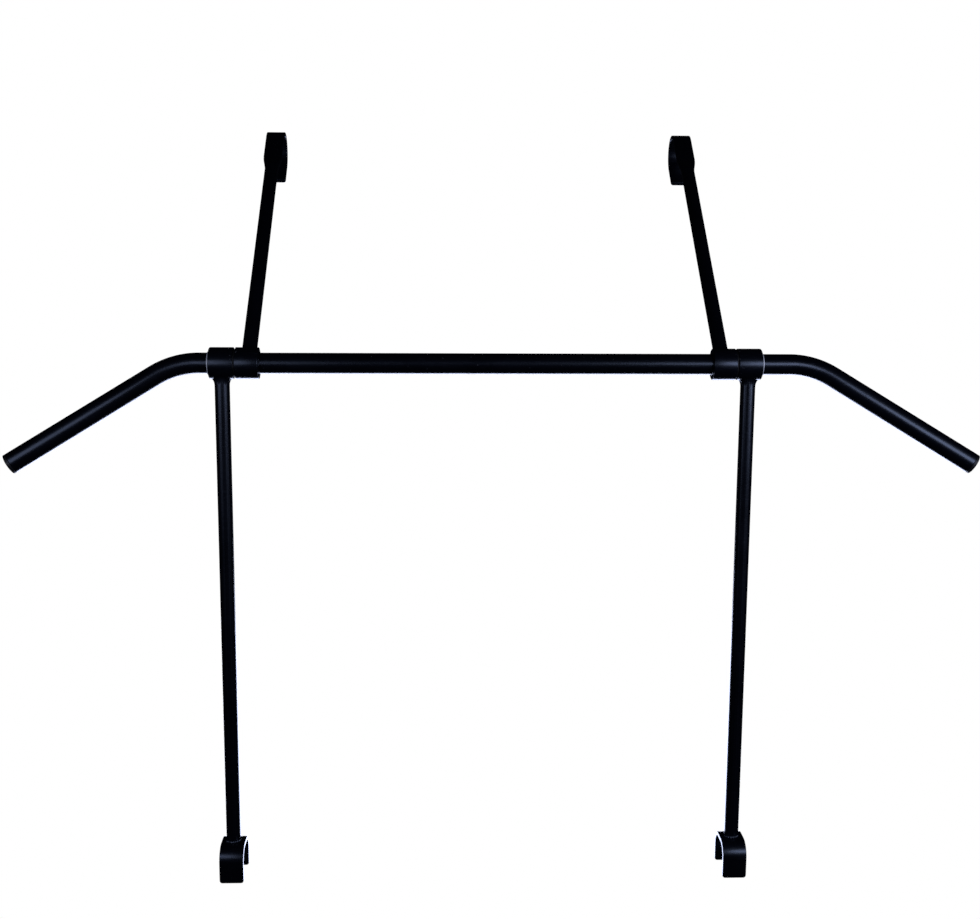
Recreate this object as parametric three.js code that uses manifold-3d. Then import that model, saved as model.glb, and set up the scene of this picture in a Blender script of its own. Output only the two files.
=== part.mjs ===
// Pull-up bar that hangs on two rungs of a wall ladder. A bent tube carries two welded upper arms,
// which end in hooks over the upper rung, and two lower legs, which turn on the bar and end in cups
// that sit on the lower rung. Hooks and cups are in line with the arms and legs that carry them.
// Millimetres, +Z up, +Y into the wall, X along the bar. The origin is on the upper rung's axis,
// midway between the two hooks.
import * as THREE from "three";
import { mergeVertices } from "three/addons/utils/BufferGeometryUtils.js";
import Module from "manifold-3d";

const wasm = await Module();
wasm.setup();

// ---- driving dimensions ----
const REACH = 230; // the bar's axis, in front of the rungs' axes
const UPPER_RISE = 359; // the upper rung's axis, above the bar's axis
const LOWER_DROP = 591; // the lower rung's axis, below the bar's axis
const RUNG_RADIUS = 21.7; // the round rungs that the part hangs on

const BAR_RADIUS = 12.5;
const BAR_WALL = 2.5;
const BAR_OFFSET = 11.5; // the bar is welded in a little to the right of the arms' middle
const BEND_CORNER = 384.5; // from the bar's middle to the point where arm and bar axes cross
const BEND_RADIUS = 95;
const ARM_LENGTH = 223; // from that point to the tube's end
const ARM_DROOP = THREE.MathUtils.degToRad(33.2);

const PLUG_RIM = 2.4;
const PLUG_DOME = 2.6;
const PLUG_SPIGOT = 14;
const PLUG_TIP = [1, 2]; // how far the spigot's tip is chamfered, in and along

const COLLAR_RADIUS = 19;
const COLLAR_LENGTH = 29;
const COLLAR_EDGE = 0.6; // chamfer beside the slot
const FIXED_SHOULDER = 3; // chamfer at the fixed collar's welded end
const PIVOT_SHOULDER = 1.5; // chamfer at the pivot collar's outer end
const SLOT_CENTRE = 302; // the slot between a fixed and a pivot collar, from the arms' middle
const SLOT_WIDTH = 2.4;
const BUSH_RADIUS = 14.2;
const BUSH_BORE = 12.85;
const WASHER_RADIUS = 17;
const RING_RADIUS = 14.2;
const RING_WIDTH = 1.6;
const GROOVE_DEPTH = 0.8;

const STRUT_RADIUS = 9;
const STRUT_WALL = 2;
const FLAT_LENGTH = 27; // over which an arm's tube flattens to the hook's strap
const FLAT_THICKNESS = 6.4;
const ARM_WELD = { foot: 17, spread: 3, height: 8, flatten: 0.9 };
const LEG_WELD = { foot: 17, spread: 5.2, height: 9, flatten: 0.8 };
const CUP_WELD = { foot: 1, spread: 2.6, height: 5, flatten: 1 };

const STRAP_THICKNESS = 5;
const MOUTH = 23; // half the inner width of a hook or cup, and the height of its inside
const STRAP_CORNER = 3.5;
const HOOK_LIFT = 15; // the U's centre beyond the upper rung's axis, in line with the arm
const [FRONT, BACK] = [-1, 1]; // a U's legs; their straight lengths are measured from its centre
const HOOK = { width: 25, bend: MOUTH, legs: { [FRONT]: 45, [BACK]: 32 }, freeLegs: [BACK] };
const CUP = { width: 30, bend: 15, legs: { [FRONT]: 17, [BACK]: 17 }, freeLegs: [FRONT, BACK] };

const GAP = 0.3; // between neighbours that are pressed, welded or stacked together
const FACETS = 40; // round a tube
const BEND_STEPS = 10; // round a bend of the bar
const FILLET_STEPS = 6; // along a dome or a weld
const CORNER_STEPS = 3; // round a strap's corner

// ---- places that follow from them ----
const BAR_AXIS = new THREE.Vector3(0, -REACH, -UPPER_RISE);
const FIXED_X = SLOT_CENTRE - (SLOT_WIDTH + COLLAR_LENGTH) / 2;
const PIVOT_X = SLOT_CENTRE + (SLOT_WIDTH + COLLAR_LENGTH) / 2;
const RING_X = PIVOT_X + COLLAR_LENGTH / 2 + GAP + RING_WIDTH / 2;
const PLAY = MOUTH - RUNG_RADIUS;
const STRAP_OUTER = MOUTH + STRAP_THICKNESS;

// The arm's line runs up the middle of the hook's front leg, this far in front of the rung's axis.
const ARM_OFFSET = MOUTH + STRAP_THICKNESS / 2 + PLAY;
const ARM_LEAN = Math.atan(REACH / UPPER_RISE) - Math.asin(ARM_OFFSET / Math.hypot(REACH, UPPER_RISE));
const LEG_LEAN = Math.atan(REACH / LOWER_DROP);

// A point given along a leaning line and square to it towards the room, as (y, z).
function leaning(lean, along, square) {
  const y = along * Math.sin(lean) - square * Math.cos(lean);
  const z = along * Math.cos(lean) + square * Math.sin(lean);
  return new THREE.Vector3(0, y, z);
}
const HOOK_CENTRE = leaning(ARM_LEAN, HOOK_LIFT, PLAY); // pulled forwards, back leg on the rung
const ARM_END = leaning(ARM_LEAN, HOOK_LIFT - HOOK.legs[FRONT] - GAP, ARM_OFFSET);
const LOWER_RUNG = new THREE.Vector3(0, 0, -UPPER_RISE - LOWER_DROP);
const CUP_CENTRE = leaning(-LEG_LEAN, -PLAY, 0).add(LOWER_RUNG); // pushed down onto the rung
const LEG_END = leaning(-LEG_LEAN, STRAP_OUTER + GAP, 0).add(CUP_CENTRE);

// ---- finishes ----
function finish(color, roughness, metalness) {
  return new THREE.MeshStandardMaterial({ color, roughness, metalness });
}
const BLACK_COAT = [0x14151a, 0.42, 0.35];
const BLACK_PLASTIC = [0x0d0d0e, 0.6, 0];
const DARK_NYLON = [0x1b1b1c, 0.55, 0];
const BRIGHT_ZINC = [0xd9dcdf, 0.3, 0.9];

const root = new THREE.Group();

function place(name, geometry, look) {
  const mesh = new THREE.Mesh(geometry, finish(...look));
  mesh.name = name;
  root.add(mesh);
}

// ---- booleans ----
function toSolid(geometry) {
  const bare = geometry.clone();
  bare.deleteAttribute("normal");
  bare.deleteAttribute("uv");
  const merged = mergeVertices(bare, 1e-4);
  const vertProperties = new Float32Array(merged.attributes.position.array);
  const triVerts = new Uint32Array(merged.index.array);
  return new wasm.Manifold(new wasm.Mesh({ numProp: 3, vertProperties, triVerts }));
}

function toGeometry(solid) {
  const mesh = solid.getMesh();
  const geometry = new THREE.BufferGeometry();
  geometry.setAttribute("position", new THREE.BufferAttribute(mesh.vertProperties, 3));
  geometry.setIndex(new THREE.BufferAttribute(mesh.triVerts, 1));
  geometry.computeVertexNormals();
  return geometry;
}

// ---- shapes ----
// A solid of revolution about X from [radius, x] corners, in the order that goes round the section.
function turned(corners) {
  const profile = corners.map(([radius, along]) => new THREE.Vector2(radius, along));
  return new THREE.LatheGeometry(profile, FACETS).rotateZ(-Math.PI / 2);
}

// A round rod about X between two places on it.
function rod(radius, low, high) {
  return turned([[0, low], [radius, low], [radius, high], [0, high]]);
}

// A ring about X, centred on x = 0, with chamfered outer edges.
function ring(outer, bore, length, chamferLow = 0, chamferHigh = 0) {
  const half = length / 2;
  const corners = [[bore, -half], [outer - chamferLow, -half]];
  if (chamferLow > 0) corners.push([outer, -half + chamferLow]);
  if (chamferHigh > 0) corners.push([outer, half - chamferHigh]);
  corners.push([outer - chamferHigh, half], [bore, half], [bore, -half]);
  return turned(corners);
}

// A ring as `ring` makes it, with `inner` the chamfer on the side of the bar's middle.
function sidedRing(side, outer, bore, length, inner, outward) {
  return side > 0 ? ring(outer, bore, length, inner, outward) : ring(outer, bore, length, outward, inner);
}

// A YZ outline given as (y, z), drawn out along X to both sides of x = 0.
function slab(outline, width) {
  const [x, y, z] = [new THREE.Vector3(1, 0, 0), new THREE.Vector3(0, 1, 0), new THREE.Vector3(0, 0, 1)];
  const options = { depth: width, bevelEnabled: false, curveSegments: FACETS / 8 };
  return new THREE.ExtrudeGeometry(outline, options)
    .translate(0, 0, -width / 2)
    .applyMatrix4(new THREE.Matrix4().makeBasis(y, z, x));
}

// A closed body through equal rings of [x, y, z] points, in the order that faces outwards.
function loft(rings) {
  const count = rings[0].length;
  const points = rings.flat();
  const faces = [];
  for (let r = 0; r + 1 < rings.length; r++) {
    for (let i = 0; i < count; i++) {
      const [a, b] = [r * count + i, r * count + ((i + 1) % count)];
      faces.push(a, b, b + count, a, b + count, a + count);
    }
  }
  const last = (rings.length - 1) * count;
  for (let i = 1; i + 1 < count; i++) faces.push(0, i + 1, i, last, last + i, last + i + 1);
  const geometry = new THREE.BufferGeometry();
  geometry.setAttribute("position", new THREE.Float32BufferAttribute(points.flat(), 3));
  geometry.setIndex(faces);
  return geometry;
}

// ---- main bar ----
// The bar's centreline: arm, bend, straight, bend, arm. A straight piece takes one step and a bend
// takes BEND_STEPS, so that only the bends are finely divided.
class BarPath extends THREE.Curve {
  constructor() {
    super();
    const tangent = BEND_RADIUS * Math.tan(ARM_DROOP / 2);
    this.straight = BEND_CORNER - tangent;
    this.arm = ARM_LENGTH - tangent;
    this.steps = 3 + 2 * BEND_STEPS;
  }

  // One half, from the middle outwards: distance along x and drop, at a given step.
  half(step) {
    const bend = Math.min(Math.max(step - 0.5, 0), BEND_STEPS) / BEND_STEPS;
    const turn = bend * ARM_DROOP;
    const flat = Math.min(step / 0.5, 1) * this.straight;
    const tail = Math.max(step - 0.5 - BEND_STEPS, 0) * this.arm;
    const x = flat + BEND_RADIUS * Math.sin(turn) + tail * Math.cos(turn);
    const drop = BEND_RADIUS * (1 - Math.cos(turn)) + tail * Math.sin(turn);
    return [x, drop];
  }

  getPoint(t, target = new THREE.Vector3()) {
    const step = (t - 0.5) * this.steps;
    const [x, drop] = this.half(Math.abs(step));
    return target.set(BAR_OFFSET + Math.sign(step) * x, BAR_AXIS.y, BAR_AXIS.z - drop);
  }

  getPointAt(u, target) {
    return this.getPoint(u, target);
  }

  getTangentAt(u, target) {
    return this.getTangent(u, target);
  }
}

function mainBar() {
  const path = new BarPath();
  const section = new THREE.Shape().absarc(0, 0, BAR_RADIUS, 0, 2 * Math.PI);
  section.holes.push(new THREE.Path().absarc(0, 0, BAR_RADIUS - BAR_WALL, 0, 2 * Math.PI));
  const options = { steps: path.steps, extrudePath: path, curveSegments: FACETS / 2 };
  let bar = toSolid(new THREE.ExtrudeGeometry(section, options));
  for (const side of [-1, 1]) {
    const groove = ring(COLLAR_RADIUS, BAR_RADIUS - GROOVE_DEPTH, RING_WIDTH + GAP);
    groove.translate(side * RING_X, BAR_AXIS.y, BAR_AXIS.z);
    bar = bar.subtract(toSolid(groove));
  }
  return toGeometry(bar);
}

// A domed plug about X, its rim against a tube end at x = 0 and its spigot towards -x.
function endPlug() {
  const spigot = BAR_RADIUS - BAR_WALL - GAP;
  const [inward, along] = PLUG_TIP;
  const corners = [[0, -PLUG_SPIGOT], [spigot - inward, -PLUG_SPIGOT], [spigot, -PLUG_SPIGOT + along]];
  corners.push([spigot, GAP], [BAR_RADIUS, GAP]);
  for (let i = 0; i < FILLET_STEPS; i++) {
    const angle = (i / FILLET_STEPS) * (Math.PI / 2);
    corners.push([BAR_RADIUS * Math.cos(angle), GAP + PLUG_RIM + PLUG_DOME * Math.sin(angle)]);
  }
  corners.push([0, GAP + PLUG_RIM + PLUG_DOME]);
  return turned(corners);
}

// ---- arms and legs ----
// A tube from one point to another with the pieces that `pieces` adds along +X, cut back at its start
// by the round room of its collar. Its bore stops `solidEnd` before its end, or runs through.
function strut(from, to, pieces, solidEnd, collarRoom) {
  const along = new THREE.Vector3().subVectors(to, from);
  const length = along.length();
  let solid = toSolid(rod(STRUT_RADIUS, 0, length - solidEnd));
  for (const piece of pieces(length)) solid = solid.add(toSolid(piece));
  const bore = rod(STRUT_RADIUS - STRUT_WALL, -GAP, solidEnd > 0 ? length - solidEnd : length + GAP);
  solid = solid.subtract(toSolid(bore));
  const across = new THREE.Vector3(1, 0, 0);
  const lateral = new THREE.Vector3().crossVectors(across, along.normalize());
  const turn = new THREE.Matrix4().makeBasis(along, lateral, across);
  const geometry = toGeometry(solid).applyMatrix4(turn).translate(from.x, from.y, from.z);
  return toGeometry(toSolid(geometry).subtract(collarRoom));
}

// A weld's body about +X: a foot that narrows to the tube in a hollow curve, flattened across the bar.
function weldFoot({ foot, spread, height, flatten }) {
  const corners = [[0, 0], [STRUT_RADIUS + spread, 0]];
  for (let i = 0; i <= FILLET_STEPS; i++) {
    const angle = (i / FILLET_STEPS) * (Math.PI / 2);
    const radius = STRUT_RADIUS + spread * (1 - Math.sin(angle));
    corners.push([radius, foot + height * (1 - Math.cos(angle))]);
  }
  corners.push([0, foot + height]);
  return turned(corners).scale(1, flatten, 1);
}

// The end of an arm's tube up to x = length, pressed from round to the width of the hook's strap.
function flattenedEnd(length) {
  const rings = [];
  for (let step = 0; step <= FILLET_STEPS; step++) {
    const share = THREE.MathUtils.smoothstep(step / FILLET_STEPS, 0, 1);
    const width = THREE.MathUtils.lerp(STRUT_RADIUS, HOOK.width / 2, share);
    const thick = THREE.MathUtils.lerp(STRUT_RADIUS, FLAT_THICKNESS / 2, share);
    const squareness = THREE.MathUtils.lerp(1, 0.5, share);
    const x = length - FLAT_LENGTH * (1 - step / FILLET_STEPS);
    rings.push(oval(x, width, thick, squareness));
  }
  return loft(rings);
}

// A ring of points across X at x: round for a squareness of 1, nearly a rectangle for a small one.
function oval(x, width, thick, squareness) {
  const points = [];
  for (let i = 0; i < FACETS; i++) {
    const angle = (i / FACETS) * 2 * Math.PI;
    const [a, b] = [Math.cos(angle), Math.sin(angle)];
    const y = thick * Math.sign(a) * Math.abs(a) ** squareness;
    const z = width * Math.sign(b) * Math.abs(b) ** squareness;
    points.push([x, y, z]);
  }
  return points;
}

// ---- hooks and cups ----
// A flat strap bent to a U that opens downwards, leaned about X by `lean` and moved to `centre`. Its
// inner corners have the radius `bend`, and a bend of MOUTH makes its top a half circle.
function strapU(centre, lean, { width, bend, legs, freeLegs }) {
  const flat = MOUTH - bend;
  const quarter = Math.PI / 2;
  const outline = new THREE.Shape();
  outline.moveTo(-STRAP_OUTER, -legs[FRONT]);
  outline.lineTo(-MOUTH, -legs[FRONT]);
  outline.absarc(-flat, flat, bend, 2 * quarter, quarter, true);
  outline.absarc(flat, flat, bend, quarter, 0, true);
  outline.lineTo(MOUTH, -legs[BACK]);
  outline.lineTo(STRAP_OUTER, -legs[BACK]);
  outline.absarc(flat, flat, bend + STRAP_THICKNESS, 0, quarter, false);
  outline.absarc(-flat, flat, bend + STRAP_THICKNESS, quarter, 2 * quarter, false);
  let solid = toSolid(slab(outline, width));
  for (const leg of freeLegs) {
    for (const side of [-1, 1]) {
      solid = solid.subtract(toSolid(cornerCut(side, width, leg * MOUTH, -legs[leg])));
    }
  }
  return toGeometry(solid).rotateX(lean).translate(centre.x, centre.y, centre.z);
}

// What is taken off to round one corner of a free leg's end.
function cornerCut(side, width, y, z) {
  const edge = (side * width) / 2;
  const inset = edge - side * STRAP_CORNER;
  const corner = new THREE.Shape();
  corner.moveTo(edge + side, z - 1);
  corner.lineTo(edge + side, z + STRAP_CORNER);
  corner.lineTo(edge, z + STRAP_CORNER);
  corner.absarc(inset, z + STRAP_CORNER, STRAP_CORNER, side > 0 ? 0 : Math.PI, -Math.PI / 2, side > 0);
  corner.lineTo(inset, z - 1);
  const options = { depth: MOUTH, bevelEnabled: false, curveSegments: CORNER_STEPS };
  return new THREE.ExtrudeGeometry(corner, options)
    .translate(0, 0, -MOUTH / 2)
    .rotateX(Math.PI / 2)
    .translate(0, y, 0);
}

// The room that a collar at x takes up, with GAP around it.
function collarRoom(x) {
  const half = COLLAR_LENGTH / 2 + GAP;
  return toSolid(rod(COLLAR_RADIUS + GAP, -half, half).translate(x, BAR_AXIS.y, BAR_AXIS.z));
}

// ---- assembly ----
place("main_bar", mainBar(), BLACK_COAT);

for (const [side, name] of [[-1, "left"], [1, "right"]]) {
  const onBar = (geometry, x) => geometry.translate(side * x, BAR_AXIS.y, BAR_AXIS.z);
  const mirrored = (point, x) => point.clone().setX(side * x);

  const plug = endPlug();
  if (side < 0) plug.rotateZ(Math.PI);
  plug.rotateY(side * ARM_DROOP);
  const tubeEnd = new BarPath().getPoint(side < 0 ? 0 : 1);
  place("end_plug_" + name, plug.translate(tubeEnd.x, tubeEnd.y, tubeEnd.z), BLACK_PLASTIC);

  const fixedBore = BAR_RADIUS + GAP;
  const fixed = sidedRing(side, COLLAR_RADIUS, fixedBore, COLLAR_LENGTH, FIXED_SHOULDER, COLLAR_EDGE);
  place("fixed_collar_" + name, onBar(fixed, FIXED_X), BLACK_COAT);
  const pivotBore = BUSH_RADIUS + GAP;
  const pivot = sidedRing(side, COLLAR_RADIUS, pivotBore, COLLAR_LENGTH, COLLAR_EDGE, PIVOT_SHOULDER);
  place("pivot_collar_" + name, onBar(pivot, PIVOT_X), BLACK_COAT);
  place("pivot_bush_" + name, onBar(ring(BUSH_RADIUS, BUSH_BORE, COLLAR_LENGTH), PIVOT_X), DARK_NYLON);
  const washer = ring(WASHER_RADIUS, BUSH_BORE, SLOT_WIDTH - 2 * GAP);
  place("thrust_washer_" + name, onBar(washer, SLOT_CENTRE), DARK_NYLON);
  const clip = ring(RING_RADIUS, BAR_RADIUS - GROOVE_DEPTH + GAP, RING_WIDTH);
  place("retaining_ring_" + name, onBar(clip, RING_X), BRIGHT_ZINC);

  const armPieces = (length) => [weldFoot(ARM_WELD), flattenedEnd(length)];
  const [armFrom, armTo] = [mirrored(BAR_AXIS, FIXED_X), mirrored(ARM_END, FIXED_X)];
  const arm = strut(armFrom, armTo, armPieces, FLAT_LENGTH, collarRoom(side * FIXED_X));
  place("upper_strut_" + name, arm, BLACK_COAT);
  place("upper_hook_" + name, strapU(mirrored(HOOK_CENTRE, FIXED_X), -ARM_LEAN, HOOK), BLACK_COAT);

  const cupWeld = (length) => weldFoot(CUP_WELD).rotateZ(Math.PI).translate(length, 0, 0);
  const legPieces = (length) => [weldFoot(LEG_WELD), cupWeld(length)];
  const [legFrom, legTo] = [mirrored(BAR_AXIS, PIVOT_X), mirrored(LEG_END, PIVOT_X)];
  const leg = strut(legFrom, legTo, legPieces, 0, collarRoom(side * PIVOT_X));
  place("lower_strut_" + name, leg, BLACK_COAT);
  place("lower_cup_" + name, strapU(mirrored(CUP_CENTRE, PIVOT_X), LEG_LEAN, CUP), BLACK_COAT);
}

export default root;
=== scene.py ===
"""The looks of a pull-up bar for wall ladders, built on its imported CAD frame.

Metres, +X along the bar, +Y into the wall, +Z up. The origin is on the upper rung's axis. Every piece
is a fine mesh made here from a few dimensions and from the boxes of the CAD nodes that it stands for.
"""

import math

import bpy
from mathutils import Matrix, Vector


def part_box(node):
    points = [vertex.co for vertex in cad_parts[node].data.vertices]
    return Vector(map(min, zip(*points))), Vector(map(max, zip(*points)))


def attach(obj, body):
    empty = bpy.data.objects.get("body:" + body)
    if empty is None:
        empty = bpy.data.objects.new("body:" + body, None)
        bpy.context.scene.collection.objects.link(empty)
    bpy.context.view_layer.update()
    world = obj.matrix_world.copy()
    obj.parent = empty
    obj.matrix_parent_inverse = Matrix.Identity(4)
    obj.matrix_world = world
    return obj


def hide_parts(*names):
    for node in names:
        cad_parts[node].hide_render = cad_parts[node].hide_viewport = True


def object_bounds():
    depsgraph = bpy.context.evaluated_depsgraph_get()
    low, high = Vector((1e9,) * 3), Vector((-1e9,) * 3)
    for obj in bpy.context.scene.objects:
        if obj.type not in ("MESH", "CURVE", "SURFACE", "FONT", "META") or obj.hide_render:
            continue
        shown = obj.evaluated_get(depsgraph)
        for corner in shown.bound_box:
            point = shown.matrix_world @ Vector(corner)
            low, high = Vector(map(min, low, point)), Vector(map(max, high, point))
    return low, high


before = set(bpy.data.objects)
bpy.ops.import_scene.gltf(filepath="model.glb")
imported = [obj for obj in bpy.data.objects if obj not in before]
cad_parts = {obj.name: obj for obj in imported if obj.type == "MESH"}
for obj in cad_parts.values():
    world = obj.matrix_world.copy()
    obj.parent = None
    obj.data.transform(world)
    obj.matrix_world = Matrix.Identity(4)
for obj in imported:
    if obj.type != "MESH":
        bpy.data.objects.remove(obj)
cad_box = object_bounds()

MM = 0.001
X_AXIS = Vector((1, 0, 0))
Y_AXIS = Vector((0, 1, 0))
Z_AXIS = Vector((0, 0, 1))
SIDES = (("left", -1), ("right", 1))

# ---- dimensions, as in the CAD ----
BAR_WALL = 2.5 * MM
BEND_RADIUS = 95 * MM
ARM_DROOP = math.radians(33.2)
ARM_LENGTH = 223 * MM
BEND_CORNER = 384.5 * MM
BAR_OFFSET = 11.5 * MM
GROOVE_DEPTH = 0.8 * MM
PLUG_RIM = 2.4 * MM
PLUG_DOME = 2.6 * MM
PLUG_SPIGOT = 14 * MM
PLUG_CHAMFER = (1 * MM, 2 * MM)  # at the spigot's end, across and along it
PIVOT_SHOULDER = 1.5 * MM
STRUT_RADIUS = 9 * MM
STRUT_WALL = 2 * MM
FLAT_LENGTH = 27 * MM
FLAT_THICKNESS = 6.4 * MM
STRAP_THICKNESS = 5 * MM
STRAP_CORNER = 3.5 * MM
MOUTH = 23 * MM  # half the inner width of a hook or cup, and the height of its inside
HOOK_LIFT = 15 * MM
HOOK_BEND = MOUTH
HOOK_LEGS = (45 * MM, 32 * MM)
CUP_BEND = 15 * MM
CUP_LEGS = (17 * MM, 17 * MM)
RUNG_RADIUS = 21.7 * MM
RUNG_SPACING = 950 * MM
GAP = 0.3 * MM

# ---- fine detail ----
EDGE = 0.25 * MM  # on turned pieces
COLLAR_EDGE = 0.6 * MM
STRAP_EDGE = 0.8 * MM
# how far from a strap's free end its outlines are drawn, closer together where its corners are round
END_ROUNDING = [MM * d for d in (0, 0.1, 0.25, 0.45, 0.7, 1.0, 1.4, 1.9, 2.5, 3.0, 3.5)]
SINK = 0.5 * MM  # how deep a weld's toe reaches into its neighbour
COLLAR_BEAD = (1.2 * MM, 2.8 * MM)  # the fixed collar's weld, along the bar and up its face
BEAD_DEPTH = 0.35 * MM
PLUG_GROOVE = (0.55, 0.62, 0.72, 0.80)  # its edges and its floor, as shares of the plug's rim
SLEEVE_PLAY = 0.2 * MM
RING_SPLIT = math.radians(9)  # half the opening of a retaining ring
# welds of struts: spread across the bar, spread along it, height, ripples round the foot, their depth
ARM_WELD = (3.0 * MM, 2.2 * MM, 8.0 * MM, 26, 0.5 * MM)
LEG_WELD = (4.6 * MM, 2.6 * MM, 9.0 * MM, 28, 0.5 * MM)
CUP_WELD = (3.4 * MM, 4.8 * MM, 4.5 * MM, 18, 1.2 * MM)
ROUND = 144  # points round a tube
FINE_ROUND = 288  # points round a tube that ends in a rippled weld
GROOVE_STATIONS = 4  # the first of each half bar's, which its bore leaves out
BEND_STEPS = 40
U_STEPS = 48
RING_STEPS = 120
BEAD_STEPS = 8
DOME_STEPS = 13
WELD_STEPS = 16
FLAT_STEPS = 24


# ---- places, from the frame ----
def centre_of(node):
    low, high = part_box(node)
    return (low + high) / 2


def size_of(node):
    low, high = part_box(node)
    return high - low


def leaning(lean, along, square):
    """A point on a line that leans towards the wall, given along it and square to it towards the room."""
    y = along * math.sin(lean) - square * math.cos(lean)
    z = along * math.cos(lean) + square * math.sin(lean)
    return Vector((0, y, z))


BAR_AXIS = Vector((0, *centre_of("fixed_collar_left").yz))
REACH = -BAR_AXIS.y
RISE = -BAR_AXIS.z
FIXED_X = centre_of("fixed_collar_right").x
PIVOT_X = centre_of("pivot_collar_right").x
RING_X = centre_of("retaining_ring_right").x
WASHER_X = centre_of("thrust_washer_right").x
RING_SIZE = size_of("retaining_ring_right")
WASHER_SIZE = size_of("thrust_washer_right")
BAR_RADIUS = size_of("main_bar").y / 2
COLLAR_RADIUS = size_of("fixed_collar_right").z / 2
COLLAR_LENGTH = size_of("fixed_collar_right").x
BUSH_RADIUS = size_of("pivot_bush_right").z / 2
HOOK_WIDTH = size_of("upper_hook_right").x
STRAP_OUTER = MOUTH + STRAP_THICKNESS
PLAY = MOUTH - RUNG_RADIUS
ARM_OFFSET = MOUTH + STRAP_THICKNESS / 2 + PLAY
ARM_LEAN = math.atan(REACH / RISE) - math.asin(ARM_OFFSET / math.hypot(REACH, RISE))
LEG_LEAN = math.atan(REACH / (RUNG_SPACING - RISE))
HOOK_CENTRE = leaning(ARM_LEAN, HOOK_LIFT, PLAY)
ARM_END = leaning(ARM_LEAN, HOOK_LIFT - HOOK_LEGS[0] - GAP, ARM_OFFSET)
CUP_CENTRE = leaning(-LEG_LEAN, -PLAY, 0) - Z_AXIS * RUNG_SPACING
LEG_END = CUP_CENTRE + leaning(-LEG_LEAN, STRAP_OUTER - SINK, 0)


# ---- camera: below the bar, looking up at it ----
CAMERA_PLACE = Vector((-0.060, -1.881, -0.812))
CAMERA_YAW = math.radians(2.18)
CAMERA_PITCH = math.radians(11.47)
CAMERA_ROLL = math.radians(-0.43)
LENS = 52.1
SENSOR = 36


def make_camera():
    yaw, pitch, roll = CAMERA_YAW, CAMERA_PITCH, CAMERA_ROLL
    level = Vector((math.sin(yaw), math.cos(yaw), 0))
    across = Vector((math.cos(yaw), -math.sin(yaw), 0))
    forward = level * math.cos(pitch) + Z_AXIS * math.sin(pitch)
    up = Z_AXIS * math.cos(pitch) - level * math.sin(pitch)
    right = across * math.cos(roll) + up * math.sin(roll)
    top = up * math.cos(roll) - across * math.sin(roll)
    data = bpy.data.cameras.new("camera")
    data.lens = LENS
    data.sensor_width = SENSOR
    camera = bpy.data.objects.new("camera", data)
    bpy.context.scene.collection.objects.link(camera)
    turn = Matrix((right, top, -forward)).transposed().to_4x4()
    camera.matrix_world = Matrix.Translation(CAMERA_PLACE) @ turn
    bpy.context.scene.camera = camera


# ---- light and surroundings ----
DAYLIGHT = (0.66, 0.73, 1.0)
FILL = 0.003
SOFT_BOXES = (  # name, place, size, power
    ("soft_box_right", (1.06, -1.34, -0.60), (1.38, 0.58), 12.3),
    ("soft_box_left", (-0.89, -1.24, -0.60), (1.12, 0.58), 4.2),
    ("soft_box_back", (0.0, 2.60, -0.95), (2.60, 1.10), 60),
)
FLOOR_DROP = 0.55
FLOOR_RADIUS = 3.9
FLOOR_GREY = 0.02
FLOOR_GLOW = 0.78
BACKDROP_HEIGHT = 14.0
BACKDROP_RADIUS = 16.0
BACKDROP_STEPS = 24


def area_light(name, place, size, power):
    """A soft box that faces the bar."""
    data = bpy.data.lights.new(name, "AREA")
    data.shape = "RECTANGLE"
    data.size, data.size_y = size
    data.energy = power
    data.color = DAYLIGHT
    light = bpy.data.objects.new(name, data)
    bpy.context.scene.collection.objects.link(light)
    light.location = place
    light.rotation_euler = (BAR_AXIS - Vector(place)).to_track_quat("-Z", "Y").to_euler()


def make_lights():
    """Two wide soft boxes beside the camera, a large one behind the bar, and a faint even fill."""
    for name, place, size, power in SOFT_BOXES:
        area_light(name, place, size, power)
    world = bpy.data.worlds.new("studio")
    world.use_nodes = True
    background = world.node_tree.nodes["Background"]
    background.inputs["Color"].default_value = (*DAYLIGHT, 1)
    background.inputs["Strength"].default_value = FILL
    bpy.context.scene.world = world


def plain_material(name, grey, glow):
    """A matt grey that also glows white, so that it stays even under the lights."""
    material = bpy.data.materials.new(name)
    material.use_nodes = True
    shader = material.node_tree.nodes["Principled BSDF"]
    shader.inputs["Base Color"].default_value = (grey, grey, grey, 1)
    shader.inputs["Specular IOR Level"].default_value = 0
    shader.inputs["Emission Color"].default_value = (1, 1, 1, 1)
    shader.inputs["Emission Strength"].default_value = glow
    return material


def make_surroundings():
    """A pale floor below the cups and a white dome. Only the camera sees them, so they light nothing."""
    floor_at = Z_AXIS * (cad_box[0].z - FLOOR_DROP)
    floor = skin("floor", [circle(floor_at, X_AXIS, Y_AXIS, FLOOR_RADIUS, 96)], "cap")
    floor.data.materials.append(plain_material("pale_floor", FLOOR_GREY, FLOOR_GLOW))
    rings = []
    for step in range(1, BACKDROP_STEPS):
        angle = math.pi * step / BACKDROP_STEPS
        centre = Z_AXIS * -BACKDROP_HEIGHT * math.cos(angle)
        rings.append(circle(centre, X_AXIS, Y_AXIS, BACKDROP_RADIUS * math.sin(angle), 48))
    backdrop = skin("backdrop", rings, "cap")
    backdrop.data.materials.append(plain_material("pale_backdrop", 0.0, 1.0))
    for ray in ("diffuse", "glossy", "transmission", "volume_scatter", "shadow"):
        setattr(floor, "visible_" + ray, False)
        setattr(backdrop, "visible_" + ray, False)


# ---- mesh tools ----
def circle(centre, across, up, radius, count):
    """Points round a circle, from `across` towards `up`."""
    points = []
    for step in range(count):
        angle = 2 * math.pi * step / count
        points.append(centre + across * radius * math.cos(angle) + up * radius * math.sin(angle))
    return points


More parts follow.
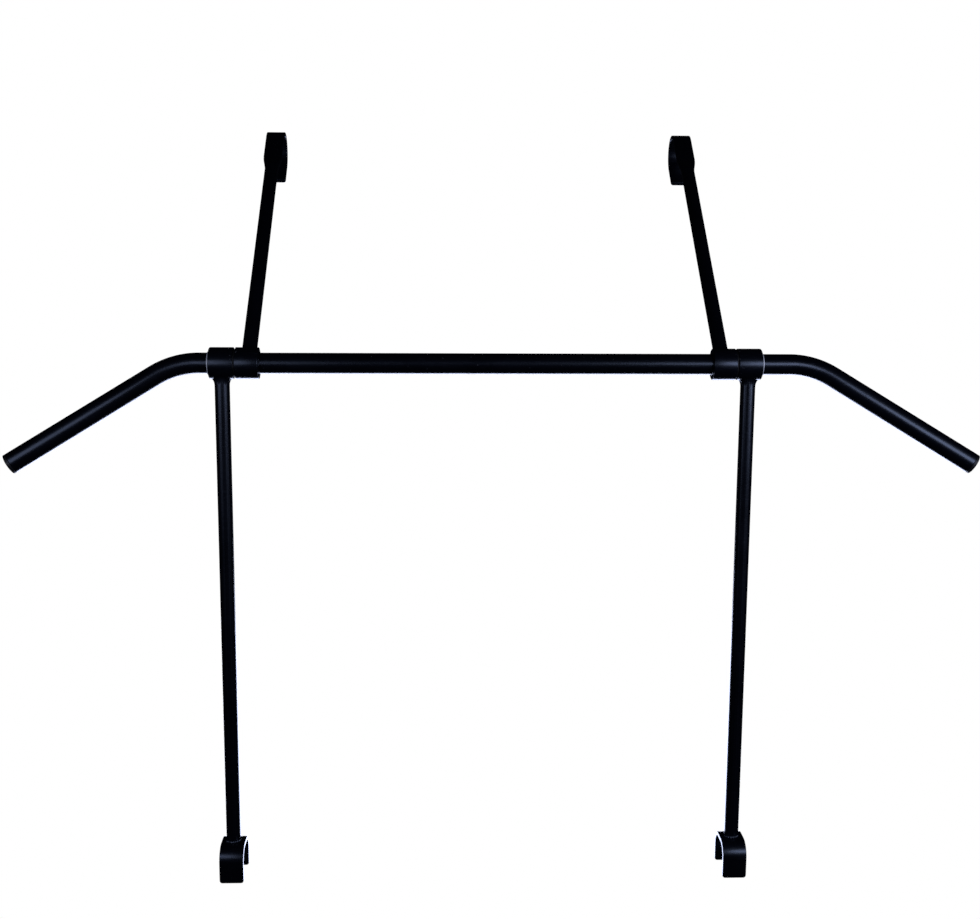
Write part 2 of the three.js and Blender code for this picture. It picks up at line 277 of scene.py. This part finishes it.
def skin(name, rings, ends, smooth=35, wear=None):
    """A mesh through rings of points. `ends` is cap, which closes both, or loop, which joins them.

    `wear` gives each point a number that the coat's shader turns into chips.
    """
    count = len(rings[0])
    points = [point for ring in rings for point in ring]
    pairs = [(i, i + 1) for i in range(len(rings) - 1)]
    if ends == "loop":
        pairs.append((len(rings) - 1, 0))
    faces = []
    for a, b in pairs:
        for i in range(count):
            j = (i + 1) % count
            faces.append((a * count + i, a * count + j, b * count + j, b * count + i))
    if ends == "cap":
        faces.append(tuple(reversed(range(count))))
    if ends == "cap" and len(rings) > 1:
        faces.append(tuple((len(rings) - 1) * count + i for i in range(count)))
    mesh = bpy.data.meshes.new(name)
    mesh.from_pydata([tuple(p) for p in points], [], faces)
    mesh.validate()
    mesh.shade_smooth()
    mesh.set_sharp_from_angle(angle=math.radians(smooth))
    worn = mesh.attributes.new("wear", "FLOAT", "POINT")
    worn.data.foreach_set("value", [wear(p) if wear else 0.0 for p in points])
    face_outwards(mesh)
    piece = bpy.data.objects.new(name, mesh)
    bpy.context.scene.collection.objects.link(piece)
    return piece


def face_outwards(mesh):
    """Turns every face round if the mesh holds a negative volume."""
    volume = 0.0
    for face in mesh.polygons:
        corners = [mesh.vertices[i].co for i in face.vertices]
        for i in range(1, len(corners) - 1):
            volume += corners[0].dot(corners[i].cross(corners[i + 1]))
    if volume < 0:
        mesh.flip_normals()


def rounded(corners, steps):
    """A closed outline through (a, b, radius) corners, each corner drawn as an arc."""
    outline = []
    for i, (a, b, radius) in enumerate(corners):
        here = Vector((a, b))
        if radius == 0:
            outline.append(here)
            continue
        before = (Vector(corners[i - 1][:2]) - here).normalized()
        after = (Vector(corners[(i + 1) % len(corners)][:2]) - here).normalized()
        half = before.angle(after) / 2
        middle = here + (before + after).normalized() * (radius / math.sin(half))
        start = here + before * (radius / math.tan(half)) - middle
        end = here + after * (radius / math.tan(half)) - middle
        for step in range(steps + 1):
            outline.append(middle + start.slerp(end, step / steps) * radius)
    return outline


def turned(outline, place, ripple=None):
    """Rings about X through an outline of (radius, along)."""
    rings = []
    for radius, along in outline:
        ring = []
        for step in range(ROUND):
            angle = 2 * math.pi * step / ROUND
            out = radius + (ripple(along, angle) if ripple else 0)
            spoke = Z_AXIS * math.cos(angle) - Y_AXIS * math.sin(angle)
            ring.append(place + X_AXIS * along + spoke * out)
        rings.append(ring)
    return rings


def add_piece(node, body, slot, rings, ends, smooth=35, wear=None):
    """The fine mesh that stands for a CAD node: its skin, its finish and the body that it rides on."""
    piece = skin(node + "_fine", rings, ends, smooth, wear)
    piece.data.materials.append(FINISHES[slot])
    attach(piece, body)
    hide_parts(node)


# ---- materials ----
class Shader:
    """A procedural material: noises in the row frame that drive one Principled shader."""

    def __init__(self, name):
        self.material = bpy.data.materials.new(name)
        self.material.use_nodes = True
        self.tree = self.material.node_tree
        self.surface = self.tree.nodes["Principled BSDF"]
        self.place = self.node("ShaderNodeTexCoord").outputs["Object"]

    def node(self, kind, **settings):
        made = self.tree.nodes.new(kind)
        for key, value in settings.items():
            setattr(made, key, value)
        return made

    def feed(self, target, value):
        """Sets a socket to a number or a colour, or links another socket to it."""
        if isinstance(value, bpy.types.NodeSocket):
            self.tree.links.new(value, target)
        elif isinstance(value, tuple):
            target.default_value = (*value, 1)
        else:
            target.default_value = value

    def set(self, socket, value):
        self.feed(self.surface.inputs[socket], value)

    def noise(self, scale, detail, stretch=(1, 1, 1)):
        mapping = self.node("ShaderNodeMapping")
        mapping.inputs["Scale"].default_value = stretch
        self.feed(mapping.inputs["Vector"], self.place)
        noise = self.node("ShaderNodeTexNoise")
        noise.inputs["Scale"].default_value = scale
        noise.inputs["Detail"].default_value = detail
        self.feed(noise.inputs["Vector"], mapping.outputs["Vector"])
        return noise.outputs["Fac"]

    def ranged(self, source, low, high, start=0.3, stop=0.7):
        """`source` stretched from start..stop to low..high."""
        stretch = self.node("ShaderNodeMapRange")
        for key, value in (("From Min", start), ("From Max", stop), ("To Min", low), ("To Max", high)):
            stretch.inputs[key].default_value = value
        self.feed(stretch.inputs["Value"], source)
        return stretch.outputs["Result"]

    def math(self, operation, a, b):
        made = self.node("ShaderNodeMath", operation=operation)
        self.feed(made.inputs[0], a)
        self.feed(made.inputs[1], b)
        return made.outputs["Value"]

    def mix(self, kind, share, a, b):
        """`a` to `b` by `share`, as numbers (VALUE) or colours (RGBA)."""
        mix = self.node("ShaderNodeMix", data_type="FLOAT" if kind == "VALUE" else kind)
        self.feed(mix.inputs["Factor"], share)
        ends = [s for s in mix.inputs if s.type == kind and s.name in ("A", "B")]
        self.feed(ends[0], a)
        self.feed(ends[1], b)
        return next(s for s in mix.outputs if s.type == kind)

    def bump(self, height, strength, distance, under=None):
        bump = self.node("ShaderNodeBump")
        bump.inputs["Strength"].default_value = strength
        bump.inputs["Distance"].default_value = distance
        self.feed(bump.inputs["Height"], height)
        if under is not None:
            self.feed(bump.inputs["Normal"], under)
        return bump.outputs["Normal"]

    def chips(self, scale, start, stop):
        """Where the coat has chipped off: the mesh's own wear, broken up by a noise."""
        worn = self.node("ShaderNodeAttribute", attribute_name="wear").outputs["Fac"]
        return self.ranged(self.math("ADD", worn, self.noise(scale, 5)), 0, 1, start, stop)


BLACK_COAT = ((0.0008, 0.0010, 0.0026), (0.0016, 0.0019, 0.0042))
SCRATCHED_COAT = (0.006, 0.007, 0.011)
COAT_TINT = (0.74, 0.84, 1.0)
BARE_METAL = (0.30, 0.30, 0.31)
ZINC = ((0.88, 0.89, 0.90), (0.96, 0.97, 0.98))


def powder_coat():
    """Satin black powder coat: orange peel, faint handling marks, bright metal where it is chipped."""
    s = Shader("powder_coat")
    patches = s.noise(18, 4)
    grain = s.noise(2600, 2)
    peel = s.noise(700, 2)
    scratch = s.noise(90, 6, (1, 9, 9))
    chips = s.chips(420, 1.02, 1.10)
    deep = s.mix("RGBA", s.ranged(patches, 0, 1), *BLACK_COAT)
    coat = s.mix("RGBA", s.ranged(scratch, 0, 1, 0.62, 0.80), deep, SCRATCHED_COAT)
    s.set("Base Color", s.mix("RGBA", chips, coat, BARE_METAL))
    s.set("Metallic", s.mix("VALUE", chips, 0.0, 0.85))
    satin = s.ranged(patches, 0.25, 0.29)
    marked = s.math("ADD", satin, s.ranged(scratch, 0.0, 0.08, 0.50, 0.80))
    s.set("Roughness", s.mix("VALUE", chips, marked, 0.42))
    s.set("Specular IOR Level", 0.55)
    s.set("Specular Tint", COAT_TINT)
    relief = s.bump(grain, 0.10, 0.00003, s.bump(peel, 0.22, 0.00008))
    s.set("Normal", s.bump(s.math("SUBTRACT", 1.0, chips), 0.5, 0.00006, relief))
    return s.material


def moulded_plastic(name, colour, roughness):
    """Black moulded plastic: fine spark-eroded grain and a faint variation in sheen."""
    s = Shader(name)
    cloud = s.noise(60, 3)
    lighter = tuple(1.7 * c for c in colour)
    s.set("Base Color", s.mix("RGBA", s.ranged(cloud, 0, 1), colour, lighter))
    s.set("Roughness", s.ranged(cloud, roughness - 0.05, roughness + 0.06))
    s.set("Normal", s.bump(s.noise(1800, 3), 0.25, 0.00006))
    return s.material


def bright_zinc():
    """Pale zinc plate: bright, a little cloudy, with fine turning lines round the ring."""
    s = Shader("bright_zinc")
    cloud = s.noise(260, 4)
    s.set("Base Color", s.mix("RGBA", s.ranged(cloud, 0, 1), *ZINC))
    s.set("Metallic", 0.20)
    s.set("Roughness", s.ranged(cloud, 0.34, 0.48))
    s.set("Normal", s.bump(s.noise(1500, 2, (6, 1, 1)), 0.2, 0.00004))
    return s.material


FINISHES = {
    "black_coat": powder_coat(),
    "plug_plastic": moulded_plastic("black_plastic", (0.005, 0.005, 0.006), 0.45),
    "nylon": moulded_plastic("black_nylon", (0.008, 0.008, 0.009), 0.55),
    "zinc": bright_zinc(),
}

# How worn a surface is: chips appear where this and a noise add up to about one.
SLOT_WEAR = 0.37
RIM_WEAR = 0.30
RUBBED_WEAR = 0.28
PLAIN_WEAR = 0.04
# How far the wear reaches beside a retaining ring and beside the slot between two collars.
RING_SCUFF = 3 * MM
SLOT_SCUFF = 1.2 * MM


# ---- main bar ----
def bar_stations(side):
    """One half of the bar's centreline, outwards: (x, drop, turn, radius)."""
    tangent = BEND_RADIUS * math.tan(ARM_DROOP / 2)
    straight, arm = BEND_CORNER - tangent, ARM_LENGTH - tangent
    half_groove = (RING_SIZE.x + GAP) / 2
    low = BAR_RADIUS - GROOVE_DEPTH
    stations = []
    for edge, radii in ((-half_groove, (BAR_RADIUS, low)), (half_groove, (low, BAR_RADIUS))):
        for radius in radii:
            stations.append((RING_X + edge - side * BAR_OFFSET, 0, 0, radius))
    for step in range(BEND_STEPS + 1):
        turn = ARM_DROOP * step / BEND_STEPS
        x = straight + BEND_RADIUS * math.sin(turn)
        stations.append((x, BEND_RADIUS * (1 - math.cos(turn)), turn, BAR_RADIUS))
    x, drop, turn, radius = stations[-1]
    edge, steps = 2 * EDGE, 4
    for step in range(steps + 1):
        angle = math.pi / 2 * step / steps
        along = arm - edge * (1 - math.sin(angle))
        trimmed = radius - edge * (1 - math.cos(angle))
        stations.append((x + along * math.cos(turn), drop + along * math.sin(turn), turn, trimmed))
    return stations


def bar_ring(side, station, inner=False):
    x, drop, turn, radius = station
    if inner:
        radius = BAR_RADIUS - BAR_WALL
    centre = BAR_AXIS + Vector((BAR_OFFSET + side * x, 0, -drop))
    up = Vector((side * math.sin(turn), 0, math.cos(turn)))
    return circle(centre, -Y_AXIS, up, radius, ROUND)


def make_main_bar():
    left, right = bar_stations(-1), bar_stations(1)
    rings = [bar_ring(-1, s) for s in reversed(left)] + [bar_ring(1, s) for s in right]
    rings += [bar_ring(1, s, True) for s in reversed(right[GROOVE_STATIONS:])]
    rings += [bar_ring(-1, s, True) for s in left[GROOVE_STATIONS:]]

    def scuffed(point):
        return RIM_WEAR if abs(abs(point.x) - RING_X) < RING_SCUFF else PLAIN_WEAR

    add_piece("main_bar", "frame", "black_coat", rings, "loop", wear=scuffed)


def make_end_plug(word, side):
    """A domed cap with a shallow groove round its rim and a chamfered spigot in the tube."""
    x, drop, turn, _ = bar_stations(side)[-1]
    place = BAR_AXIS + Vector((BAR_OFFSET + side * x, 0, -drop))
    axis = Vector((side * math.cos(turn), 0, -math.sin(turn)))
    spigot = BAR_RADIUS - BAR_WALL - GAP
    groove = BAR_RADIUS - EDGE
    across, along = PLUG_CHAMFER
    profile = [(spigot - across, -PLUG_SPIGOT), (spigot, -PLUG_SPIGOT + along), (spigot, GAP)]
    profile += [(BAR_RADIUS - GAP, GAP), (BAR_RADIUS, 2 * GAP)]
    for radius, share in zip((BAR_RADIUS, groove, groove, BAR_RADIUS), PLUG_GROOVE):
        profile.append((radius, GAP + PLUG_RIM * share))
    for step in range(DOME_STEPS):
        angle = math.pi / 2 * step / DOME_STEPS
        profile.append((BAR_RADIUS * math.cos(angle), GAP + PLUG_RIM + PLUG_DOME * math.sin(angle)))
    up = axis.cross(Y_AXIS)
    rings = [circle(place + axis * along, Y_AXIS, up, radius, ROUND) for radius, along in profile]
    add_piece("end_plug_" + word, "frame", "plug_plastic", rings, "cap")


# ---- collars, washers, rings ----
def beside(x, wear):
    """Wear on the edges next to a slot at x."""
    return lambda point: wear if abs(point.x - x) < SLOT_SCUFF else 0.0


def make_fixed_collar(word, side):
    """A sleeve with a fine rippled weld between its inner face and the bar."""
    half, bore = COLLAR_LENGTH / 2, BAR_RADIUS + GAP / 3
    long, tall = COLLAR_BEAD
    face = -side * (half - long)
    corners = [(bore, side * half, 0), (COLLAR_RADIUS, side * half, COLLAR_EDGE)]
    corners += [(COLLAR_RADIUS, face, 1.5 * COLLAR_EDGE), (bore + tall, face, 0)]
    outline = rounded(corners, 5)
    for step in range(1, BEAD_STEPS + 1):
        angle = math.pi / 2 * step / BEAD_STEPS
        along = face - side * long * (1 - math.cos(angle))
        outline.append(Vector((bore + tall * (1 - math.sin(angle)), along)))

    def ripple(along, angle):
        share = max(0.0, (face - along) * side / long)
        lump = abs(math.sin(24 * angle + 1.1 * math.sin(3 * angle)))
        return -BEAD_DEPTH * lump * math.sin(math.pi * min(share, 1.0))

    place = BAR_AXIS + X_AXIS * side * FIXED_X
    rings = turned(outline, place, ripple)
    wear = beside(place.x + side * half, SLOT_WEAR)
    add_piece("fixed_collar_" + word, "frame", "black_coat", rings, "loop", wear=wear)


def make_pivot_collar(word, side):
    half, bore = side * COLLAR_LENGTH / 2, BUSH_RADIUS + GAP
    corners = [(bore, -half, 0), (COLLAR_RADIUS, -half, COLLAR_EDGE)]
    corners += [(COLLAR_RADIUS, half, PIVOT_SHOULDER), (bore, half, COLLAR_EDGE)]
    place = BAR_AXIS + X_AXIS * side * PIVOT_X
    rings = turned(rounded(corners, 8), place)
    wear = beside(place.x - half, SLOT_WEAR)
    add_piece("pivot_collar_" + word, word + "_leg", "black_coat", rings, "loop", wear=wear)


def make_sleeve(node, body, x, radius, length):
    """A plain nylon ring on the bar."""
    half, bore = length / 2, BAR_RADIUS + SLEEVE_PLAY
    corners = [(bore, -half, EDGE), (radius, -half, EDGE), (radius, half, EDGE), (bore, half, EDGE)]
    rings = turned(rounded(corners, 3), BAR_AXIS + X_AXIS * x)
    add_piece(node, body, "nylon", rings, "loop")


def make_retaining_ring(word, side):
    """An open snap ring in its groove, with its two ears at the bottom."""
    place = BAR_AXIS + X_AXIS * side * RING_X
    bore = BAR_RADIUS - GROOVE_DEPTH + 0.1 * MM
    half, depth = RING_SIZE.x / 2, RING_SIZE.z / 2 - bore
    rings = []
    for step in range(RING_STEPS + 1):
        angle = -math.pi / 2 + RING_SPLIT + (2 * math.pi - 2 * RING_SPLIT) * step / RING_STEPS
        from_end = min(step, RING_STEPS - step) / RING_STEPS
        body = 0.60 + 0.25 * min(1.0, from_end * 5)
        ear = 0.4 * max(0.0, 1 - from_end * 26) ** 0.5
        outer = bore + depth * min(body + ear, 1.0)
        corners = [(bore, -half, EDGE), (outer, -half, EDGE), (outer, half, EDGE), (bore, half, EDGE)]
        spoke = Y_AXIS * math.cos(angle) + Z_AXIS * math.sin(angle)
        rings.append([place + spoke * out + X_AXIS * along for out, along in rounded(corners, 3)])
    add_piece("retaining_ring_" + word, "frame", "zinc", rings, "cap")


# ---- arms and legs ----
def tube_ring(start, axis, reach, along):
    """A ring round a tube. `reach` gives its half sizes along X and square to X at an angle, and `along`
    how far from `start` a point lies that is that far off the tube's middle square to X."""
    square = axis.cross(X_AXIS).normalized()
    ring = []
    for step in range(FINE_ROUND):
        angle = 2 * math.pi * step / FINE_ROUND
        wide, tall = reach(angle)
        across, lateral = wide * math.cos(angle), tall * math.sin(angle)
        ring.append(start + axis * along(lateral) + X_AXIS * across + square * lateral)
    return ring


def weld_rings(start, axis, foot, weld, ahead):
    """Rings from a weld's toe on `foot` to the plain tube; `ahead` is 1 at the near end, -1 at the far."""
    spread_across, spread_along, height, count, depth = weld
    rings = []
    for step in range(WELD_STEPS + 1):
        share = step / WELD_STEPS
        narrow = 1 - math.sin(share * math.pi / 2)
        rise = ahead * height * (1 - math.cos(share * math.pi / 2))
        fade = depth * math.sin(math.pi * share**0.8)

        def reach(angle):
            wave = abs(math.sin(count / 2 * angle + 0.9 * share + 0.35 * math.sin(5 * angle)))
            plain = STRUT_RADIUS - fade * (1 - wave)
            return plain + spread_across * narrow, plain + spread_along * narrow

        rings.append(tube_ring(start, axis, reach, lambda lateral: foot(lateral) + rise))
    return rings


def bore_ring(start, axis, along):
    bore = STRUT_RADIUS - STRUT_WALL
    return tube_ring(start, axis, lambda angle: (bore, bore), along)


def collar_foot(lateral):
    """How far from a tube's start on the bar's axis its collar's surface lies."""
    return math.sqrt((COLLAR_RADIUS - SINK) ** 2 - lateral**2)


def flat_rings(start, axis, length):
    """Rings from the round tube to its end, which is pressed to the width of the hook's strap."""
    rings = []
    for step in range(FLAT_STEPS + 1):
        share = step / FLAT_STEPS
        pressed = share * share * (3 - 2 * share)
        wide = STRUT_RADIUS + (HOOK_WIDTH / 2 - STRUT_RADIUS) * pressed
        tall = STRUT_RADIUS + (FLAT_THICKNESS / 2 - STRUT_RADIUS) * pressed
        power = 0.5 * pressed
        at = length - FLAT_LENGTH * (1 - share)

        def reach(angle):
            cosine, sine = max(abs(math.cos(angle)), 1e-6), max(abs(math.sin(angle)), 1e-6)
            return wide / cosine**power, tall / sine**power

        rings.append(tube_ring(start, axis, reach, lambda lateral: at))
    return rings


def make_upper_strut(word, side):
    start = BAR_AXIS + X_AXIS * side * FIXED_X
    end = ARM_END + X_AXIS * side * FIXED_X
    axis = (end - start).normalized()
    length = (end - start).length
    rings = [bore_ring(start, axis, lambda lateral: length - FLAT_LENGTH)]
    rings.append(bore_ring(start, axis, collar_foot))
    rings += weld_rings(start, axis, collar_foot, ARM_WELD, 1)
    rings += flat_rings(start, axis, length)
    add_piece("upper_strut_" + word, "frame", "black_coat", rings, "cap", smooth=50)


def make_lower_strut(word, side):
    start = BAR_AXIS + X_AXIS * side * PIVOT_X
    end = LEG_END + X_AXIS * side * PIVOT_X
    axis = (end - start).normalized()
    length = (end - start).length

    def cup_foot(lateral):
        corner = CUP_BEND + STRAP_THICKNESS
        past_flat = max(abs(lateral) - (MOUTH - CUP_BEND), 0)
        return length + corner - math.sqrt(corner**2 - past_flat**2)

    rings = weld_rings(start, axis, collar_foot, LEG_WELD, 1)
    rings += reversed(weld_rings(start, axis, cup_foot, CUP_WELD, -1))
    rings += [bore_ring(start, axis, cup_foot), bore_ring(start, axis, collar_foot)]
    add_piece("lower_strut_" + word, word + "_leg", "black_coat", rings, "loop", smooth=50)


# ---- hooks and cups ----
def strap_stations(bend, legs, welded):
    """The strap's middle line as (y, z) from the U's centre, its outward normal as (y, z), and the
    distance to the nearer free end."""
    middle, flat, radius = MOUTH + STRAP_THICKNESS / 2, MOUTH - bend, bend + STRAP_THICKNESS / 2
    front, back = legs
    if welded:
        stations = [(-middle, -front, (-1, 0), front)]
    else:
        stations = [(-middle, -front + d, (-1, 0), d) for d in END_ROUNDING]
    half = U_STEPS // 2
    second = half if flat else half + 1  # without a flat top both corners share the middle station
    for corner, first, last in ((-flat, 0, half), (flat, second, U_STEPS)):
        for step in range(first, last + 1):
            angle = math.pi * (1 - step / U_STEPS)
            normal = (math.cos(angle), math.sin(angle))
            stations.append((corner + radius * normal[0], flat + radius * normal[1], normal, back))
    stations += [(middle, -back + d, (1, 0), d) for d in reversed(END_ROUNDING)]
    return stations


def fallen_back(radius, distance):
    """How much a rounded edge of that radius has fallen back, at a distance from the end."""
    if distance >= radius:
        return 0.0
    return radius - math.sqrt(radius**2 - (radius - distance) ** 2)


def make_strap(node, body, centre, lean, bend, legs, welded):
    """A flat strap with rounded edges, bent to a U that opens downwards and leans about X."""
    width = size_of(node).x
    turn = Matrix.Rotation(lean, 3, "X")
    rings = []
    for y, z, normal, distance in strap_stations(bend, legs, welded):
        half_width = width / 2 - fallen_back(STRAP_CORNER, distance)
        half_thick = STRAP_THICKNESS / 2 - fallen_back(STRAP_EDGE, distance)
        signs = ((-1, -1), (1, -1), (1, 1), (-1, 1))
        corners = [(a * half_width, b * half_thick, STRAP_EDGE) for a, b in signs]
        here = centre + turn @ Vector((0, y, z))
        outwards = turn @ Vector((0, *normal))
        rings.append([here + X_AXIS * a + outwards * b for a, b in rounded(corners, 5)])

    def rubbed(point):
        place = turn.transposed() @ (point - centre)
        if abs(place.y) < MOUTH + EDGE and math.hypot(place.y, max(place.z, 0)) < MOUTH + STRAP_EDGE:
            return RUBBED_WEAR
        return RIM_WEAR if abs(place.x) > width / 2 - STRAP_EDGE else PLAIN_WEAR

    add_piece(node, body, "black_coat", rings, "cap", wear=rubbed)


# ---- assembly ----
make_camera()
make_lights()
make_surroundings()
make_main_bar()
for word, side in SIDES:
    leg = word + "_leg"
    make_end_plug(word, side)
    make_fixed_collar(word, side)
    make_pivot_collar(word, side)
    make_sleeve("pivot_bush_" + word, leg, side * PIVOT_X, BUSH_RADIUS, COLLAR_LENGTH)
    make_sleeve("thrust_washer_" + word, "frame", side * WASHER_X, WASHER_SIZE.z / 2, WASHER_SIZE.x)
    make_retaining_ring(word, side)
    make_upper_strut(word, side)
    make_lower_strut(word, side)
    hook_at = HOOK_CENTRE + X_AXIS * side * FIXED_X
    make_strap("upper_hook_" + word, "frame", hook_at, -ARM_LEAN, HOOK_BEND, HOOK_LEGS, True)
    cup_at = CUP_CENTRE + X_AXIS * side * PIVOT_X
    make_strap("lower_cup_" + word, leg, cup_at, LEG_LEAN, CUP_BEND, CUP_LEGS, False)

bpy.context.scene.view_settings.view_transform = "Standard"
